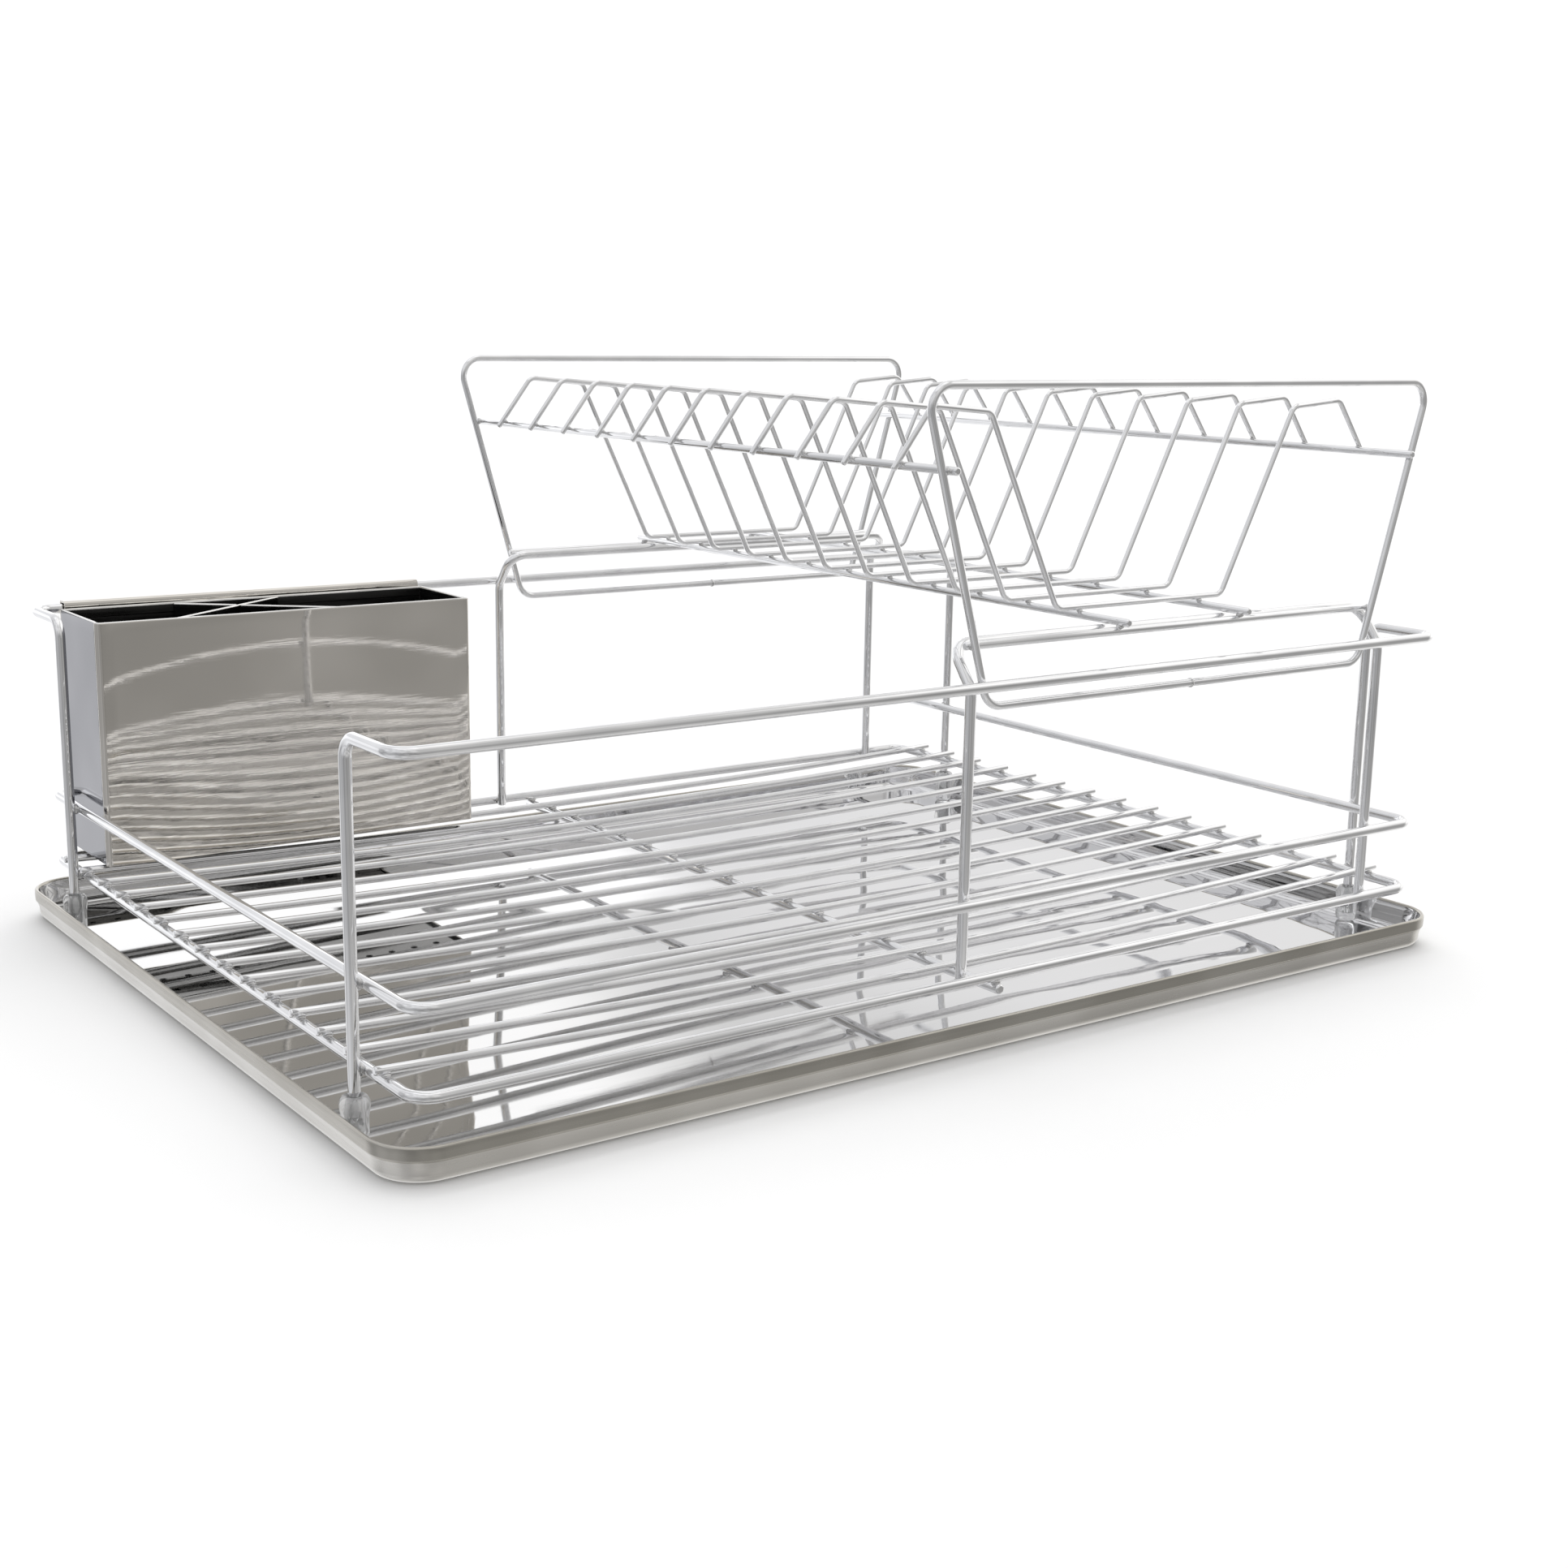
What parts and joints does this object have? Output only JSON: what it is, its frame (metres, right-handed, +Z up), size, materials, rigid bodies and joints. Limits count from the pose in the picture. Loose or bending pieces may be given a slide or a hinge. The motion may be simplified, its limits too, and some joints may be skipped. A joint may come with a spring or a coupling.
{
  "type": "dish drying rack",
  "caption": "Chromed wire dish rack standing in a steel drip tray, with a lift-off plate rack on arches and a hook-on cutlery box.",
  "frame": {"origin": "on the surface the tray stands on, under the middle of the tray", "axes": "+X along the long front side, from the cutlery box end to the plate rack end; +Y from the front to the back; +Z up"},
  "size_m": [0.4728, 0.3552, 0.2301],
  "materials": {
    "tray_steel": "bright polished sheet steel, satin outside",
    "chromed_wire": "mirror chrome plate",
    "box_steel": "polished stainless sheet with a faint grain",
    "clear_plastic": "clear soft vinyl"
  },
  "bodies": {
    "tray": {"drip_tray": "tray_steel"},
    "basket": {"lower_loop": "chromed_wire", "middle_loop": "chromed_wire", "front_top_rail": "chromed_wire", "rear_top_rail": "chromed_wire", "front_arch": "chromed_wire", "rear_arch": "chromed_wire", "cross_wire": "chromed_wire", "floor_wire_01": "chromed_wire", "floor_wire_02": "chromed_wire", "floor_wire_03": "chromed_wire", "floor_wire_04": "chromed_wire", "floor_wire_05": "chromed_wire", "floor_wire_06": "chromed_wire", "floor_wire_07": "chromed_wire", "floor_wire_08": "chromed_wire", "floor_wire_09": "chromed_wire", "floor_wire_10": "chromed_wire", "floor_wire_11": "chromed_wire", "floor_wire_12": "chromed_wire", "floor_wire_13": "chromed_wire", "floor_wire_14": "chromed_wire", "floor_wire_15": "chromed_wire", "foot_cap_front_left": "clear_plastic", "foot_cap_front_right": "clear_plastic", "foot_cap_rear_left": "clear_plastic", "foot_cap_rear_right": "clear_plastic"},
    "plate_rack": {"rack_loop_front": "chromed_wire", "rack_loop_rear": "chromed_wire", "rack_crossbar_front": "chromed_wire", "rack_crossbar_rear": "chromed_wire", "rack_low_rail_left": "chromed_wire", "rack_low_rail_right": "chromed_wire", "rack_side_rail_left": "chromed_wire", "rack_side_rail_right": "chromed_wire", "plate_divider_01": "chromed_wire", "plate_divider_02": "chromed_wire", "plate_divider_03": "chromed_wire", "plate_divider_04": "chromed_wire", "plate_divider_05": "chromed_wire", "plate_divider_06": "chromed_wire", "plate_divider_07": "chromed_wire", "plate_divider_08": "chromed_wire", "plate_divider_09": "chromed_wire", "plate_divider_10": "chromed_wire", "plate_divider_11": "chromed_wire"},
    "cutlery_box": {"cutlery_box_body": "box_steel", "cutlery_box_floor": "box_steel", "cutlery_divider_a": "box_steel", "cutlery_divider_b": "box_steel"}
  },
  "joints": [
    {"name": "basket_lift", "type": "slide", "parent": "tray", "child": "basket", "axis": [0, 0, 1], "range_m": [0, 0.1]},
    {"name": "plate_rack_lift", "type": "slide", "parent": "basket", "child": "plate_rack", "axis": [0, 0, 1], "range_m": [0, 0.12]},
    {"name": "cutlery_box_lift", "type": "slide", "parent": "basket", "child": "cutlery_box", "axis": [0, 0, 1], "range_m": [0, 0.14]}
  ]
}
